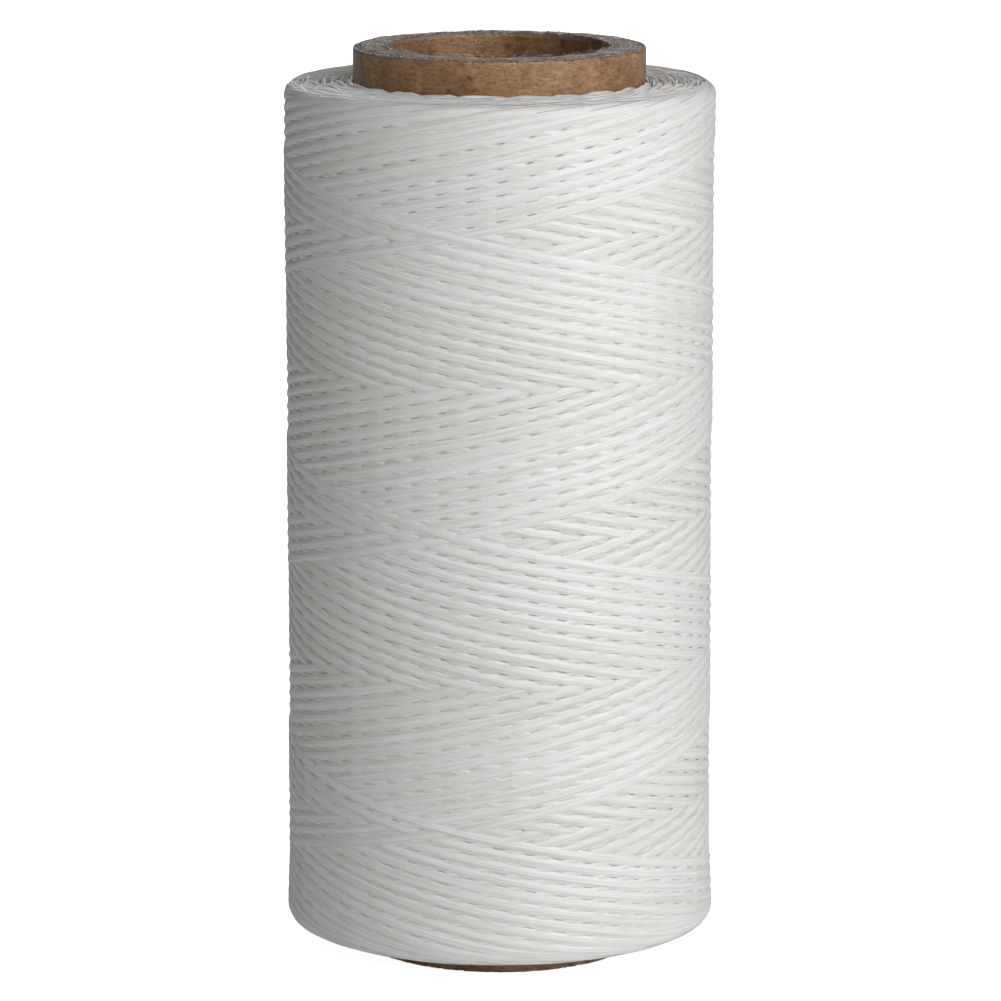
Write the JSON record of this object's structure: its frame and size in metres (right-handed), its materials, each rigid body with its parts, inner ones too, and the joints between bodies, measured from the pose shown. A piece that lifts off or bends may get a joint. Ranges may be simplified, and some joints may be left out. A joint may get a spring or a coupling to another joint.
{
  "type": "waxed thread spool",
  "caption": "Straight paper tube cross-wound with flat waxed sewing thread into a plain cylinder, with both tube ends left standing proud.",
  "frame": {"origin": "centre of the tube's lower rim, on the surface that the spool stands on", "axes": "+Z along the tube's axis, up from the rim that the spool stands on; +X to the right and +Y away as seen from the front"},
  "size_m": [0.0572, 0.057, 0.12],
  "materials": {
    "kraft_liner": "matt brown kraft paper, fibrous, lining the bore",
    "paperboard": "matt grey-brown laminated board, seen only on the cut rims",
    "kraft_wrap": "matt brown kraft paper with fine fibres and a few dark flecks",
    "waxed_thread": "white waxed polyester, flat and smooth, with a soft silky sheen along its filaments",
    "waxed_thread_core": "the same white waxed thread in shadow below the outer turns"
  },
  "bodies": {
    "root": {"tube_inner_liner": "kraft_liner", "tube_body_ply_1": "paperboard", "tube_body_ply_2": "paperboard", "tube_body_ply_3": "paperboard", "tube_body_ply_4": "paperboard", "tube_body_ply_5": "paperboard", "tube_body_ply_6": "paperboard", "tube_outer_wrap": "kraft_wrap", "thread_inner_windings": "waxed_thread_core", "thread_outer_windings": "waxed_thread", "thread_last_pass": "waxed_thread"}
  },
  "joints": []
}
